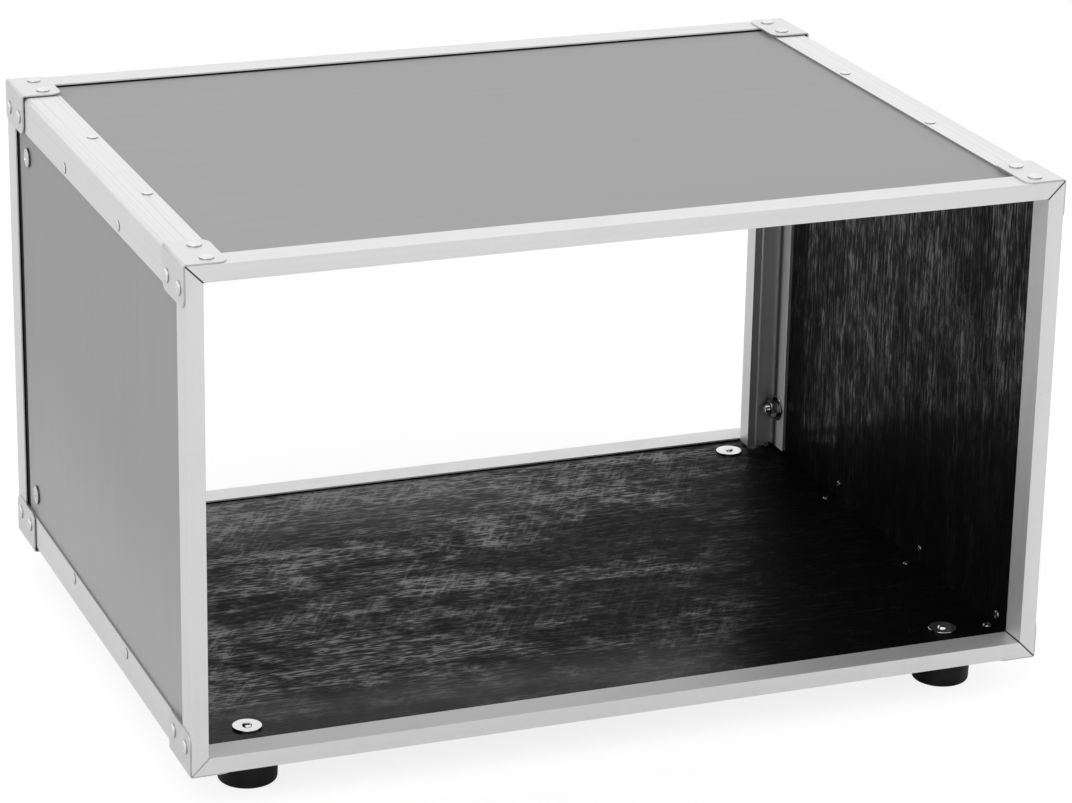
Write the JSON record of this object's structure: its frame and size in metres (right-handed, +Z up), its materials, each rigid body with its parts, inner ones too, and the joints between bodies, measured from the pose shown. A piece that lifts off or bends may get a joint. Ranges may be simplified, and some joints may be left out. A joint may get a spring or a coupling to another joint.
{
  "type": "effects rack case",
  "caption": "Open-ended rack case of thin plywood panels in mitred aluminium channel frames, with edge angles, riveted corner brackets, slotted rack rails and rubber feet.",
  "frame": {"origin": "centre of the case's outline on the ground, under the feet", "axes": "+X along the width, +Y out of the end with the rack rails, +Z up"},
  "size_m": [0.5104, 0.38, 0.3107],
  "materials": {
    "panel_board": "thin plywood, satin grey film outside and black stain inside",
    "channel_aluminium": "mill-finish extruded channel",
    "angle_aluminium": "mill-finish extruded angle with fine lines along its length",
    "bracket_aluminium": "satin folded sheet",
    "rail_aluminium": "mill-finish extrusion",
    "rivet_aluminium": "bright domed rivets",
    "plated_steel": "zinc-plated",
    "foot_rubber": "black moulded rubber"
  },
  "bodies": {
    "root": {"top_panel": "panel_board", "bottom_panel": "panel_board", "left_panel": "panel_board", "right_panel": "panel_board", "rear_top_channel": "channel_aluminium", "rear_bottom_channel": "channel_aluminium", "rear_left_channel": "channel_aluminium", "rear_right_channel": "channel_aluminium", "front_top_channel": "channel_aluminium", "front_bottom_channel": "channel_aluminium", "front_left_channel": "channel_aluminium", "front_right_channel": "channel_aluminium", "top_left_angle": "angle_aluminium", "top_right_angle": "angle_aluminium", "bottom_left_angle": "angle_aluminium", "bottom_right_angle": "angle_aluminium", "rear_top_left_bracket": "bracket_aluminium", "rear_top_right_bracket": "bracket_aluminium", "rear_bottom_left_bracket": "bracket_aluminium", "rear_bottom_right_bracket": "bracket_aluminium", "front_top_left_bracket": "bracket_aluminium", "front_top_right_bracket": "bracket_aluminium", "front_bottom_left_bracket": "bracket_aluminium", "front_bottom_right_bracket": "bracket_aluminium", "left_rack_rail": "rail_aluminium", "right_rack_rail": "rail_aluminium", "long_corner_rivets": "rivet_aluminium", "short_corner_rivets": "rivet_aluminium", "edge_rivets": "rivet_aluminium", "rail_bolts": "plated_steel", "rail_washers": "plated_steel", "rail_nuts": "plated_steel", "rear_left_foot": "foot_rubber", "rear_right_foot": "foot_rubber", "front_left_foot": "foot_rubber", "front_right_foot": "foot_rubber", "foot_washers": "plated_steel", "foot_rivets": "rivet_aluminium"}
  },
  "joints": []
}
